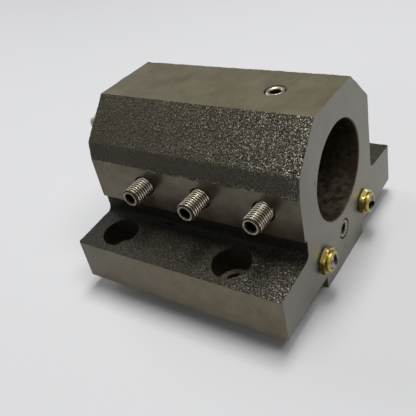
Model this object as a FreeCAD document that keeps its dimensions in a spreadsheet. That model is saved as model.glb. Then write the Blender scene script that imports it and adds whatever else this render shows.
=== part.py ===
import FreeCAD, Part
import math
import os
import re

import Sketcher
from FreeCAD import Placement, Rotation, Vector

# Boring bar holder. Millimetres, +Z up. The origin is on the axis of the bar bore in the front
# face, +X points out of the front face along the bore, and the clamp screws are on the -Y side.

SIZES = [
    # The block
    ("body_length", 122.8, "front face to rear face"),
    ("top_height", 39.4, "bore axis to the top flat"),
    ("top_width", 41.0, "width of the top flat"),
    ("barrel_width", 78.8, "width over the cast side walls"),
    ("base_depth", 48.5, "bore axis to the underside of the flanges"),
    ("flange_width", 135.8, "width over both flanges"),
    ("flange_edge", 23.0, "flange thickness at its outer edge"),
    ("flange_rise", 2.3, "rise of the flange top towards the barrel"),
    ("tenon_width", 47.2, "width of the lengthwise tenon"),
    ("tenon_height", 7.5, "how far the tenon stands below the flanges"),
    ("pad_proud", 1.8, "how far the screw pad stands out of the cast wall"),
    ("pad_top", 11.0, "bore axis to the upper edge of the screw pad"),
    ("pad_bottom", 12.8, "bore axis to the lower edge of the screw pad"),
    ("cast_fillet", 3.8, "cast fillet between wall and flange"),
    ("shoulder_round", 2.0, "cast round between slope and wall"),
    ("corner_bevel", 1.0, "bevel on the upright flange corners"),
    ("tenon_bevel", 0.8, "bevel along the tenon"),
    # The bar bore
    ("bore_dia", 50.0, "bar bore"),
    ("bore_bevel", 0.5, "bevel at the bore's mouth"),
    ("rear_bevel", 0.5, "bevel at the bore's rear end"),
    # Clamp screws
    ("clamp_dia", 10.0, "clamp screw thread"),
    ("clamp_length", 25.0, "clamp screw length"),
    ("clamp_first", 19.4, "front face to the first clamp screw"),
    ("clamp_pitch", 35.0, "clamp screw spacing"),
    ("clamp_proud", 11.8, "clamp screw end out of the pad, loosened"),
    ("clamp_middle_out", 1.2, "how much further the middle clamp screw stands out"),
    ("clamp_socket", 5.0, "clamp screw hexagon socket"),
    ("clamp_socket_depth", 5.0, "depth of that socket"),
    ("clamp_point", 7.0, "flat point of the clamp screw"),
    ("clamp_bevel", 0.9, "bevel around the clamp screw holes"),
    ("clamp_end_bevel", 0.9, "bevel at the clamp screw's outer end"),
    # Bolt holes in the flanges
    ("mount_first", 33.7, "front face to the first pair of bolt holes"),
    ("mount_pitch", 70.0, "bolt hole spacing along the bore"),
    ("mount_span", 107.0, "bolt hole spacing across the bore"),
    ("mount_dia", 13.5, "bolt hole"),
    ("mount_sink_dia", 20.0, "bolt head counterbore"),
    ("mount_floor", 11.0, "flange left under the bolt head"),
    # Coolant drillings
    ("gallery_share", 0.45, "level of the galleries, as a share of the depth under the bore"),
    ("gallery_dia", 6.0, "lengthwise gallery"),
    ("cross_dia", 7.0, "cross gallery"),
    ("riser_dia", 5.0, "riser from the bore to the lengthwise gallery"),
    ("cross_from_front", 13.0, "front face to the cross gallery"),
    ("inlet_dia", 8.0, "coolant inlet in the tenon"),
    ("plug_dia", 10.0, "gallery plug thread"),
    ("plug_length", 8.0, "gallery plug length"),
    ("plug_socket", 5.0, "gallery plug hexagon socket"),
    ("plug_socket_depth", 4.5, "depth of that socket"),
    ("plug_bevel", 0.6, "bevel around the plug holes"),
    ("plug_seat", 1.0, "thread left behind a plug"),
    ("top_plug_from_front", 29.0, "front face to the top plug"),
    # Coolant nozzles
    ("nozzle_span", 50.4, "nozzle spacing across the bore"),
    ("nozzle_thread", 10.0, "nozzle body thread"),
    ("nozzle_shank", 9.0, "nozzle body length inside the block"),
    ("nozzle_port", 14.5, "depth of the nozzle port"),
    ("nozzle_hex", 13.0, "nozzle body hexagon"),
    ("hex_height", 2.5, "height of that hexagon"),
    ("collar_dia", 11.0, "nozzle collar at the hexagon"),
    ("lip_dia", 9.8, "nozzle collar at its lip"),
    ("collar_height", 1.9, "height of the collar"),
    ("ball_dia", 8.0, "nozzle ball"),
    ("ball_hole", 3.4, "jet hole through the ball"),
    ("ball_flat", 3.4, "ball centre to its front flat"),
    ("ball_inset", 2.2, "ball centre behind the collar's lip"),
    ("washer_dia", 12.0, "nozzle washer"),
    ("washer_height", 0.7, "nozzle washer thickness"),
    ("feed_dia", 5.0, "feed bore through the nozzle body"),
    ("seat_width", 1.0, "width of the seat ring under the ball"),
    ("seat_height", 0.8, "height of the seat ring at its hole"),
    ("left_swivel", 54.0, "direction of the left ball's tilt, degrees from +Y towards +Z"),
    ("left_tilt", 20.0, "tilt of the left ball, degrees"),
    ("right_swivel", 193.0, "direction of the right ball's tilt, degrees from +Y towards +Z"),
    ("right_tilt", 28.0, "tilt of the right ball, degrees"),
    ("right_hex_turn", 11.0, "turn of the right nozzle body's hexagon, degrees"),
    # Rear cover
    ("cover_dia", 76.6, "rear cover"),
    ("cover_thickness", 3.3, "rear cover thickness"),
    ("cover_bevel", 0.6, "bevel around the cover"),
    ("cover_circle", 65.5, "bolt circle of the cover screws"),
    ("cover_screw_dia", 5.0, "cover screw thread"),
    ("cover_screw_length", 12.0, "cover screw length under its head"),
    ("cover_head_dia", 8.5, "cover screw head"),
    ("cover_head_height", 5.0, "cover screw head height"),
    ("cover_socket", 4.0, "cover screw hexagon socket"),
    ("cover_socket_depth", 2.5, "depth of that socket"),
    ("cover_screw_bevel", 0.4, "bevel on the cover screw's head and end"),
    ("cover_hole_gap", 0.25, "gap around a cover screw in the cover"),
    ("cover_tap_reserve", 2.0, "tapped hole below a cover screw's end"),
    ("seal_dia", 54.6, "cover seal ring, middle of its section"),
    ("seal_section", 2.0, "square section of that ring"),
    # Fits
    ("thread_gap", 0.05, "gap around a threaded or seated piece"),
    ("seat_gap", 0.03, "gap behind a seal"),
]
COVER_SCREWS = 4
CLAMP_SCREWS = 3

doc = FreeCAD.newDocument("boring_bar_holder")
sheet = doc.addObject("Spreadsheet::Sheet", "dims")
for row, (alias, value, note) in enumerate(SIZES, start=1):
    sheet.set(f"A{row}", note)
    sheet.set(f"B{row}", str(value))
    sheet.setAlias(f"B{row}", alias)
doc.recompute()
NAMES = {alias for alias, value, note in SIZES}


def bound(text):
    """Turn a formula in size names into one that reads the sheet."""
    return re.sub(r"[a-z_]+", lambda word: "dims." + word[0] if word[0] in NAMES else word[0], str(text))


def size(text):
    """Value of a formula in size names."""
    result = sheet.evalExpression(bound(text))
    return float(getattr(result, "Value", result))


def minus(text):
    return f"-({text})"


def new_body(label):
    body = doc.addObject("PartDesign::Body", label)
    body.Label = label
    return body


def new_sketch(body, name, plane, offset=("0", "0", "0")):
    """Sketch on an origin plane of the body, moved by formulas in the sketch's own directions."""
    sketch = body.newObject("Sketcher::SketchObject", name)
    role = plane + "_Plane"
    support = next(item for item in body.Origin.OriginFeatures if item.Role == role)
    sketch.AttachmentSupport = [(support, "")]
    sketch.MapMode = "FlatFace"
    sketch.AttachmentOffset = Placement(Vector(*[size(part) for part in offset]), Rotation())
    for axis, part in zip("xyz", offset):
        if part != "0":
            sketch.setExpression(f"AttachmentOffset.Base.{axis}", bound(part))
    return sketch


def fix_point(sketch, geometry, end, across, up):
    """Hold one point of the sketch at two formulas; None leaves that direction free."""
    for kind, axis_line, text in (("DistanceX", -2, across), ("DistanceY", -1, up)):
        if text is None:
            continue
        if text == "0":
            sketch.addConstraint(Sketcher.Constraint("PointOnObject", geometry, end, axis_line))
            continue
        index = sketch.addConstraint(Sketcher.Constraint(kind, -1, 1, geometry, end, size(text)))
        sketch.setExpression(f"Constraints[{index}]", bound(text))


def draw_outline(sketch, points):
    """Closed outline. A point is (across, up), or (across, up, centre_up) where the edge that
    leads to it is an arc about a centre on the sketch's upright axis."""
    count = len(points)
    ends = [Vector(size(point[0]), size(point[1]), 0) for point in points]
    edges = []
    tips = []
    for index, point in enumerate(points):
        start = ends[index - 1]
        end = ends[index]
        if len(point) == 3:
            centre = Vector(0, size(point[2]), 0)
            circle = Part.Circle(centre, Vector(0, 0, 1), (start - centre).Length)
            angles = [math.atan2(tip.y - centre.y, tip.x - centre.x) for tip in (start, end)]
            edge = Part.ArcOfCircle(circle, min(angles), max(angles))
            tips.append(1 if angles[1] < angles[0] else 2)
        else:
            edge = Part.LineSegment(start, end)
            tips.append(2)
        edges.append(sketch.addGeometry(edge, False))

    for index in range(count):
        following = (index + 1) % count
        tail = 3 - tips[following]
        sketch.addConstraint(
            Sketcher.Constraint("Coincident", edges[index], tips[index], edges[following], tail))
    for index, point in enumerate(points):
        if len(point) == 3:
            fix_point(sketch, edges[index], 3, "0", point[2])
            fix_point(sketch, edges[index], tips[index], None, point[1])
        else:
            fix_point(sketch, edges[index], tips[index], point[0], point[1])
    return sketch


def draw_circle(sketch, across, up, diameter):
    centre = Vector(size(across), size(up), 0)
    circle = sketch.addGeometry(Part.Circle(centre, Vector(0, 0, 1), size(diameter) / 2), False)
    fix_point(sketch, circle, 3, across, up)
    index = sketch.addConstraint(Sketcher.Constraint("Diameter", circle, size(diameter)))
    sketch.setExpression(f"Constraints[{index}]", bound(diameter))


def hexagon(flats):
    """Corners of a hexagon with a corner on the sketch's first axis."""
    corner = f"({flats}) / sqrt(3)"
    half = f"({flats}) / 2"
    return [
        (corner, "0"),
        (f"{corner} / 2", half),
        (f"-{corner} / 2", half),
        (f"-{corner}", "0"),
        (f"-{corner} / 2", f"-{half}"),
        (f"{corner} / 2", f"-{half}"),
    ]


def pad(body, sketch, length, reverse=False):
    feature = body.newObject("PartDesign::Pad", sketch.Name + "_pad")
    feature.Profile = sketch
    feature.Reversed = reverse
    feature.setExpression("Length", bound(length))
    sketch.Visibility = False
    doc.recompute()
    return feature


def pocket(body, sketch, length, reverse=False):
    feature = body.newObject("PartDesign::Pocket", sketch.Name + "_cut")
    feature.Profile = sketch
    feature.Reversed = reverse
    feature.setExpression("Length", bound(length))
    return checked_cut(body, feature)


def checked_cut(body, feature):
    """Recompute a cut and make sure that it took material away."""
    before = feature.BaseFeature.Shape.Volume
    doc.recompute()
    if not feature.Shape.Volume < before - 1e-6:
        raise RuntimeError(f"{feature.Name} of {body.Label} cuts nothing")
    return feature


def turned(body, name, points, plane="XZ", axis="V_Axis", offset=("0", "0", "0")):
    """Solid of revolution about one axis of its sketch."""
    sketch = draw_outline(new_sketch(body, name, plane, offset), points)
    feature = body.newObject("PartDesign::Revolution", name + "_turned")
    feature.Profile = sketch
    feature.ReferenceAxis = (sketch, [axis])
    feature.Angle = 360
    doc.recompute()
    return feature


def bored(body, name, points, plane, axis, offset=("0", "0", "0")):
    """Cut of revolution about one axis of its sketch."""
    sketch = draw_outline(new_sketch(body, name, plane, offset), points)
    feature = body.newObject("PartDesign::Groove", name + "_bored")
    feature.Profile = sketch
    feature.ReferenceAxis = (sketch, [axis])
    feature.Angle = 360
    return checked_cut(body, feature)


def dressed(body, kind, name, radius, test):
    """Fillet or chamfer on the edges of the body that pass the test."""
    base = body.Tip
    picked = [f"Edge{number}" for number, edge in enumerate(base.Shape.Edges, start=1) if test(edge)]
    if not picked:
        raise RuntimeError(f"no edge for {name} of {body.Label}")
    feature = body.newObject("PartDesign::" + kind, name)
    feature.Base = (base, picked)
    feature.setExpression("Radius" if kind == "Fillet" else "Size", bound(radius))
    doc.recompute()
    return feature


def runs_along(edge, direction):
    """True for a straight edge in that direction."""
    if len(edge.Vertexes) != 2 or not isinstance(edge.Curve, Part.Line):
        return False
    return abs(abs(edge.tangentAt(edge.FirstParameter).dot(direction)) - 1) < 1e-6


def near(value, text):
    return abs(value - size(text)) < 1e-3


def is_ring(edge, place, diameter):
    """True for a full circle of that diameter about the bore axis at that x."""
    if not isinstance(edge.Curve, Part.Circle):
        return False
    centre = edge.Curve.Center
    on_axis = abs(centre.y) < 1e-3 and abs(centre.z) < 1e-3
    return on_axis and near(centre.x, place) and near(edge.Curve.Radius * 2, diameter)


def place(piece, position, rotation=Rotation()):
    """Put a piece at formulas, turned from its own upright axis."""
    piece.Placement = Placement(Vector(*[size(part) for part in position]), rotation)
    for axis, part in zip("xyz", position):
        if part != "0":
            piece.setExpression(f"Placement.Base.{axis}", bound(part))


TO_FRONT = Rotation(Vector(0, 1, 0), 90)
TO_REAR = Rotation(Vector(0, 1, 0), -90)
TO_LEFT = Rotation(Vector(1, 0, 0), 90)
TO_RIGHT = Rotation(Vector(1, 0, 0), -90)

ALONG = Vector(1, 0, 0)
UPRIGHT = Vector(0, 0, 1)

# Places that several pieces share
PAD_FACE = "(barrel_width / 2 + pad_proud)"
SHOULDER_UP = "(top_height - (barrel_width - top_width) / 2)"
FLANGE_TOP = "(flange_edge + flange_rise - base_depth)"
TENON_BOTTOM = "(base_depth + tenon_height)"
GALLERY = "-(bore_dia / 2 + gallery_share * (base_depth - bore_dia / 2))"
PLUG_HOLE = "(plug_dia / 2 + thread_gap)"
COVER_SCREW_HOLE = "(cover_screw_dia / 2 + thread_gap)"
COVER_SCREW_OUT = "(cover_circle / 2 * sin(45 deg))"
INLET_FROM_FRONT = "(mount_first + mount_pitch / 2)"
# Drillings that open into the bar bore end here
INSIDE_BORE = "(bore_dia / 4)"
SEAL_GROOVE = "(seal_section / 2 + thread_gap)"


def side_outline(side):
    """Right-hand or left-hand half of the casting's outline, from the tenon up."""
    points = [
        ("tenon_width / 2", minus(TENON_BOTTOM)),
        ("tenon_width / 2", "-base_depth"),
        ("flange_width / 2", "-base_depth"),
        ("flange_width / 2", "flange_edge - base_depth"),
        ("barrel_width / 2", FLANGE_TOP),
        ("barrel_width / 2", SHOULDER_UP),
        ("top_width / 2", "top_height"),
    ]
    if side > 0:
        return points
    return [(f"-({across})", up) for across, up in reversed(points)]


def make_casting(body):
    """Outline of the block, the screw pad and the cast edges."""
    outline = draw_outline(new_sketch(body, "outline", "YZ"), side_outline(1) + side_outline(-1))
    pad(body, outline, "body_length", reverse=True)
    screw_pad = [
        ("-bore_dia / 2", "-pad_bottom"),
        (f"-{PAD_FACE}", "-pad_bottom"),
        (f"-{PAD_FACE}", "pad_top"),
        ("-barrel_width / 2", SHOULDER_UP),
        ("-bore_dia / 2", SHOULDER_UP),
    ]
    pad(body, draw_outline(new_sketch(body, "screw_pad", "YZ"), screw_pad), "body_length", reverse=True)

    def at_wall(edge):
        return runs_along(edge, ALONG) and near(abs(edge.Vertexes[0].Y), "barrel_width / 2")

    dressed(body, "Fillet", "wall_fillets", "cast_fillet",
            lambda edge: at_wall(edge) and near(edge.Vertexes[0].Z, FLANGE_TOP))
    dressed(body, "Fillet", "shoulder_rounds", "shoulder_round",
            lambda edge: at_wall(edge) and near(edge.Vertexes[0].Z, SHOULDER_UP))
    dressed(body, "Chamfer", "corner_bevels", "corner_bevel",
            lambda edge: runs_along(edge, UPRIGHT) and near(abs(edge.Vertexes[0].Y), "flange_width / 2"))
    dressed(body, "Chamfer", "tenon_bevels", "tenon_bevel",
            lambda edge: runs_along(edge, ALONG) and near(edge.Vertexes[0].Z, minus(TENON_BOTTOM)))


def make_bar_bore(body):
    circle = new_sketch(body, "bar_bore", "YZ")
    draw_circle(circle, "0", "0", "bore_dia")
    pocket(body, circle, "body_length")
    dressed(body, "Chamfer", "bore_mouth", "bore_bevel", lambda edge: is_ring(edge, "0", "bore_dia"))
    dressed(body, "Chamfer", "bore_rear", "rear_bevel",
            lambda edge: is_ring(edge, "-body_length", "bore_dia"))
    groove = [
        (f"seal_dia / 2 + {SEAL_GROOVE}", "0"),
        (f"seal_dia / 2 + {SEAL_GROOVE}", "seal_section + seat_gap"),
        (f"seal_dia / 2 - {SEAL_GROOVE}", "seal_section + seat_gap"),
        (f"seal_dia / 2 - {SEAL_GROOVE}", "0"),
    ]
    along_bore = [(up, across) for across, up in groove]
    bored(body, "seal_groove", along_bore, "XY", "H_Axis", ("-body_length", "0", "0"))


def bevelled_hole(radius, bevel, mouth, floor, up=1):
    """Half section of a hole with a bevelled mouth, as (across, along) about its axis."""
    inwards = "-" if up > 0 else "+"
    return [
        ("0", mouth),
        (f"{radius} + {bevel}", mouth),
        (radius, f"{mouth} {inwards} {bevel}"),
        (radius, floor),
        ("0", floor),
    ]


def make_clamp_holes(body):
    radius = "clamp_dia / 2 + thread_gap"
    hole = bevelled_hole(radius, "clamp_bevel", f"-{PAD_FACE}", f"-{INSIDE_BORE}", up=-1)
    first = bored(body, "clamp_hole", hole, "XY", "V_Axis", ("-clamp_first", "0", "0"))
    rows = body.newObject("PartDesign::LinearPattern", "clamp_holes")
    rows.Originals = [first]
    rows.Direction = (first.Profile[0], ["H_Axis"])
    rows.Reversed = True
    rows.Occurrences = CLAMP_SCREWS
    rows.setExpression("Length", bound(f"clamp_pitch * {CLAMP_SCREWS - 1}"))
    body.Tip = rows
    doc.recompute()


def make_mount_holes(body):
    """Four bolt holes, counterbored from above to a fixed floor over the flange underside."""
    for along, row in (("mount_first", "front"), ("mount_first + mount_pitch", "rear")):
        for across, side in ((1, "left"), (-1, "right")):
            hole = [
                ("0", "0"),
                ("mount_sink_dia / 2", "0"),
                ("mount_sink_dia / 2", "mount_floor - base_depth"),
                ("mount_dia / 2", "mount_floor - base_depth"),
                ("mount_dia / 2", minus(TENON_BOTTOM)),
                ("0", minus(TENON_BOTTOM)),
            ]
            bored(body, f"mount_hole_{row}_{side}", hole, "XZ", "V_Axis",
                  (f"-({along})", "0", f"{across} * mount_span / 2"))


def plug_port(mouth, beyond, drill, up):
    """Threaded plug hole that steps down to a drilling."""
    inwards = "-" if up > 0 else "+"
    step = f"{mouth} {inwards} (plug_length + plug_seat)"
    return [
        ("0", mouth),
        (f"{PLUG_HOLE} + plug_bevel", mouth),
        (PLUG_HOLE, f"{mouth} {inwards} plug_bevel"),
        (PLUG_HOLE, step),
        (drill, step),
        (drill, beyond),
        ("0", beyond),
    ]


def make_drillings(body):
    """Coolant ways: inlet, lengthwise gallery, riser into the bore, cross gallery, nozzle ports."""
    lengthwise = plug_port("0", f"-{INLET_FROM_FRONT} - gallery_dia", "gallery_dia / 2", 1)
    bored(body, "front_gallery", [(up, across) for across, up in lengthwise], "XY", "H_Axis",
          ("0", "0", GALLERY))
    cross = plug_port("flange_width / 2", "-nozzle_span / 2", "cross_dia / 2", 1)
    bored(body, "cross_gallery", cross, "XY", "V_Axis", ("-cross_from_front", "0", GALLERY))
    inlet = [
        ("0", minus(TENON_BOTTOM)),
        ("inlet_dia / 2", minus(TENON_BOTTOM)),
        ("inlet_dia / 2", GALLERY),
        ("0", GALLERY),
    ]
    bored(body, "coolant_inlet", inlet, "XZ", "V_Axis", (f"-{INLET_FROM_FRONT}", "0", "0"))
    at_plug = ("-top_plug_from_front", "0", "0")
    top = bevelled_hole(PLUG_HOLE, "plug_bevel", "top_height", INSIDE_BORE)
    bored(body, "top_plug_hole", top, "XZ", "V_Axis", at_plug)
    riser = [
        ("0", minus(INSIDE_BORE)),
        ("riser_dia / 2", minus(INSIDE_BORE)),
        ("riser_dia / 2", GALLERY),
        ("0", GALLERY),
    ]
    bored(body, "riser", riser, "XZ", "V_Axis", at_plug)
    port = bevelled_hole("nozzle_thread / 2 + thread_gap", "plug_bevel", "0", "-nozzle_port")
    for side, across in (("left", "-nozzle_span / 2"), ("right", "nozzle_span / 2")):
        bored(body, f"nozzle_port_{side}", [(up, out) for out, up in port], "XY", "H_Axis",
              ("0", across, GALLERY))


def make_cover_taps(body):
    depth = "-body_length + cover_screw_length - cover_thickness + cover_tap_reserve"
    tap = [
        ("-body_length", "0"),
        ("-body_length", COVER_SCREW_HOLE),
        (depth, COVER_SCREW_HOLE),
        (depth, "0"),
    ]
    first = bored(body, "cover_tap", tap, "XY", "H_Axis", ("0", COVER_SCREW_OUT, COVER_SCREW_OUT))
    ring = body.newObject("PartDesign::PolarPattern", "cover_taps")
    ring.Originals = [first]
    ring.Axis = (next(item for item in body.Origin.OriginFeatures if item.Role == "X_Axis"), [""])
    ring.Angle = 360
    ring.Occurrences = COVER_SCREWS
    body.Tip = ring
    doc.recompute()


def make_holder_body():
    body = new_body("holder_body")
    make_casting(body)
    make_bar_bore(body)
    make_clamp_holes(body)
    make_mount_holes(body)
    make_drillings(body)
    make_cover_taps(body)
    return body


def socket(body, flats, depth, mouth):
    """Hexagon socket cut down from a piece's outer end."""
    sketch = draw_outline(new_sketch(body, "socket", "XY", ("0", "0", mouth)), hexagon(flats))
    pocket(body, sketch, depth)


def make_clamp_screw(label, number):
    """Set screw with a flat point; its own +Z points out of the pad."""
    body = new_body(label)
    radius = "clamp_dia / 2"
    point = "(clamp_dia - clamp_point) / 2"
    profile = [
        ("0", "-clamp_length"),
        ("clamp_point / 2", "-clamp_length"),
        (radius, f"-clamp_length + {point}"),
        (radius, "-clamp_end_bevel"),
        (f"{radius} - clamp_end_bevel", "0"),
        ("0", "0"),
    ]
    turned(body, "screw", profile)
    socket(body, "clamp_socket", "clamp_socket_depth", "0")
    out = "clamp_proud + clamp_middle_out" if number == 1 else "clamp_proud"
    place(body, (f"-clamp_first - {number} * clamp_pitch", f"-{PAD_FACE} - ({out})", "0"), TO_LEFT)
    return body


def make_plug(label, position, rotation):
    """Gallery plug, flush with the face that it closes; its own +Z points outwards."""
    body = new_body(label)
    radius = "plug_dia / 2"
    profile = [
        ("0", "-plug_length"),
        (f"{radius} - plug_bevel", "-plug_length"),
        (radius, "-plug_length + plug_bevel"),
        (radius, "-plug_bevel"),
        (f"{radius} - plug_bevel", "0"),
        ("0", "0"),
    ]
    turned(body, "plug", profile)
    socket(body, "plug_socket", "plug_socket_depth", "0")
    place(body, position, rotation)
    return body


# Heights in a nozzle, counted out from the block's front face
HEX_BOTTOM = "washer_height"
HEX_TOP = "(washer_height + hex_height)"
LIP = "(washer_height + hex_height + collar_height)"
BALL_CENTRE = "(washer_height + hex_height + collar_height - ball_inset)"
SOCKET_RADIUS = "(ball_dia / 2 + thread_gap)"
# The seat ring's conical top is tangent to the ball at the edge of its hole
SEAT_HOLE = "(ball_dia / 2 - seat_width)"
SEAT_OUTSIDE = f"({SOCKET_RADIUS} - seat_gap)"
BALL_ABOVE_SEAT = f"sqrt({SOCKET_RADIUS} * {SOCKET_RADIUS} - {SEAT_HOLE} * {SEAT_HOLE})"
SEAT_BOTTOM = f"({BALL_CENTRE} - {BALL_ABOVE_SEAT} - seat_height)"


def make_nozzle_body(label, across, hex_turn):
    """Brass body: threaded shank, bevelled hexagon, collar rolled in over the ball."""
    body = new_body(label)
    corner = "nozzle_hex / sqrt(3)"
    slope = "((nozzle_hex / sqrt(3) - nozzle_hex / 2) * tan(30 deg))"
    floor = f"({SEAT_BOTTOM} - seat_gap)"
    mouth = f"sqrt({SOCKET_RADIUS} * {SOCKET_RADIUS} - ball_inset * ball_inset)"
    profile = [
        ("feed_dia / 2", "-nozzle_shank"),
        ("nozzle_thread / 2 - plug_bevel", "-nozzle_shank"),
        ("nozzle_thread / 2", "-nozzle_shank + plug_bevel"),
        ("nozzle_thread / 2", HEX_BOTTOM),
        ("nozzle_hex / 2", HEX_BOTTOM),
        (corner, f"{HEX_BOTTOM} + {slope}"),
        (corner, f"{HEX_TOP} - {slope}"),
        ("nozzle_hex / 2", HEX_TOP),
        ("collar_dia / 2", HEX_TOP),
        ("collar_dia / 2", f"{LIP} - (collar_dia - lip_dia) / 2"),
        ("lip_dia / 2", LIP),
        (mouth, LIP),
        (SOCKET_RADIUS, BALL_CENTRE, BALL_CENTRE),
        (SOCKET_RADIUS, floor),
        ("feed_dia / 2", floor),
    ]
    turned(body, "nozzle", profile)
    flats = new_sketch(body, "flats", "XY", ("0", "0", HEX_BOTTOM))
    draw_outline(flats, hexagon("nozzle_hex"))
    draw_circle(flats, "0", "0", "nozzle_hex * 2")
    pocket(body, flats, "hex_height", reverse=True)
    place(body, ("0", across, GALLERY), TO_FRONT * Rotation(UPRIGHT, size(hex_turn)))
    return body


def make_nozzle_washer(label, across):
    body = new_body(label)
    hole = "nozzle_thread / 2 + thread_gap"
    profile = [
        (hole, "0"),
        ("washer_dia / 2", "0"),
        ("washer_dia / 2", "washer_height"),
        (hole, "washer_height"),
    ]
    turned(body, "washer", profile)
    place(body, ("0", across, GALLERY), TO_FRONT)
    return body


def make_nozzle_seat(label, across):
    """Plastic ring that the ball bears on."""
    body = new_body(label)
    rise = f"({SEAT_OUTSIDE} - {SEAT_HOLE}) * {SEAT_HOLE} / {BALL_ABOVE_SEAT}"
    profile = [
        (SEAT_HOLE, "0"),
        (SEAT_OUTSIDE, "0"),
        (SEAT_OUTSIDE, f"seat_height + {rise}"),
        (SEAT_HOLE, "seat_height"),
    ]
    turned(body, "ring", profile)
    place(body, (SEAT_BOTTOM, across, GALLERY), TO_FRONT)
    return body


def make_nozzle_ball(label, across, swivel, tilt):
    """Ball with a jet hole and a front flat, turned to where it points."""
    ball = doc.addObject("Part::Sphere", label + "_sphere")
    ball.setExpression("Radius", bound("ball_dia / 2"))
    jet = doc.addObject("Part::Cylinder", label + "_jet")
    jet.setExpression("Radius", bound("ball_hole / 2"))
    jet.setExpression("Height", bound("ball_dia * 2"))
    jet.setExpression("Placement.Base.z", bound("-ball_dia"))
    front = doc.addObject("Part::Cylinder", label + "_front")
    front.setExpression("Radius", bound("ball_dia"))
    front.setExpression("Height", bound("ball_dia"))
    front.setExpression("Placement.Base.z", bound("ball_flat"))
    tools = doc.addObject("Part::MultiFuse", label + "_tools")
    tools.Shapes = [jet, front]
    cut = doc.addObject("Part::Cut", label)
    cut.Base = ball
    cut.Tool = tools
    cut.Label = label
    towards = Rotation(ALONG, size(swivel)) * Rotation(UPRIGHT, size(tilt))
    place(cut, (BALL_CENTRE, across, GALLERY), towards * TO_FRONT)
    return cut


def make_rear_cover():
    """Round plate; its own +Z points away from the block's rear face."""
    body = new_body("rear_cover")
    edge = "cover_dia / 2"
    profile = [
        ("0", "0"),
        (edge, "0"),
        (edge, "cover_thickness - cover_bevel"),
        (f"{edge} - cover_bevel", "cover_thickness"),
        ("0", "cover_thickness"),
    ]
    turned(body, "plate", profile)
    hole = new_sketch(body, "screw_hole", "XY", ("0", "0", "cover_thickness"))
    draw_circle(hole, COVER_SCREW_OUT, COVER_SCREW_OUT, "cover_screw_dia + 2 * cover_hole_gap")
    first = pocket(body, hole, "cover_thickness")
    ring = body.newObject("PartDesign::PolarPattern", "screw_holes")
    ring.Originals = [first]
    ring.Axis = (next(item for item in body.Origin.OriginFeatures if item.Role == "Z_Axis"), [""])
    ring.Angle = 360
    ring.Occurrences = COVER_SCREWS
    body.Tip = ring
    doc.recompute()
    place(body, ("-body_length", "0", "0"), TO_REAR)
    return body


def make_cover_seal():
    """Square rubber ring in the groove behind the cover."""
    body = new_body("rear_cover_seal")
    inside = "(seal_dia - seal_section) / 2"
    outside = "(seal_dia + seal_section) / 2"
    profile = [(inside, "0"), (outside, "0"), (outside, "seal_section"), (inside, "seal_section")]
    turned(body, "ring", profile)
    place(body, ("-body_length + seal_section + seat_gap / 2", "0", "0"), TO_REAR)
    return body


def make_cover_screw(label, side, up):
    """Cap screw seated on the cover."""
    body = new_body(label)
    shank = "cover_screw_dia / 2"
    head = "cover_head_dia / 2"
    profile = [
        ("0", "-cover_screw_length"),
        (f"{shank} - cover_screw_bevel", "-cover_screw_length"),
        (shank, "-cover_screw_length + cover_screw_bevel"),
        (shank, "0"),
        (head, "0"),
        (head, "cover_head_height - cover_screw_bevel"),
        (f"{head} - cover_screw_bevel", "cover_head_height"),
        ("0", "cover_head_height"),
    ]
    turned(body, "screw", profile)
    socket(body, "cover_socket", "cover_socket_depth", "cover_head_height")
    seat = ("-body_length - cover_thickness", f"{side} * {COVER_SCREW_OUT}", f"{up} * {COVER_SCREW_OUT}")
    place(body, seat, TO_REAR)
    return body


def make_all():
    pieces = [make_holder_body()]
    for number, name in enumerate(("front", "middle", "rear")):
        pieces.append(make_clamp_screw(f"clamp_screw_{name}", number))
    pieces.append(make_plug("top_plug", ("-top_plug_from_front", "0", "top_height"), Rotation()))
    pieces.append(make_plug("front_gallery_plug", ("0", "0", GALLERY), TO_FRONT))
    cross_mouth = ("-cross_from_front", "flange_width / 2", GALLERY)
    pieces.append(make_plug("cross_gallery_plug", cross_mouth, TO_RIGHT))
    nozzles = (("left", "-nozzle_span / 2", "0"), ("right", "nozzle_span / 2", "-right_hex_turn"))
    for side, across, turn in nozzles:
        pieces.append(make_nozzle_body(f"nozzle_body_{side}", across, turn))
        pieces.append(make_nozzle_washer(f"nozzle_washer_{side}", across))
        pieces.append(make_nozzle_seat(f"nozzle_seat_{side}", across))
        pieces.append(make_nozzle_ball(f"nozzle_ball_{side}", across, f"{side}_swivel", f"{side}_tilt"))
    pieces.append(make_rear_cover())
    pieces.append(make_cover_seal())
    for side, side_name in ((-1, "left"), (1, "right")):
        for up, up_name in ((1, "upper"), (-1, "lower")):
            pieces.append(make_cover_screw(f"cover_screw_{up_name}_{side_name}", side, up))
    return pieces


pieces = make_all()
doc.recompute()
for item in doc.Objects:
    if "Invalid" in item.State or "Error" in item.State:
        raise RuntimeError(f"{item.Label} failed: {item.State}")
for piece in pieces:
    if piece.Shape.isNull() or not piece.Shape.isValid() or len(piece.Shape.Solids) != 1:
        raise RuntimeError(f"{piece.Label} is not one valid solid")

os.makedirs("parts", exist_ok=True)
for piece in pieces:
    piece.Shape.exportStep(f"parts/{piece.Label}.step")
    print(f"{piece.Label}: {piece.Shape.Volume:.1f} mm3")
print(f"{len(pieces)} pieces")
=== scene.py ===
import math

import bmesh
import bpy
import numpy as np
from mathutils import Matrix, Vector, noise


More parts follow.
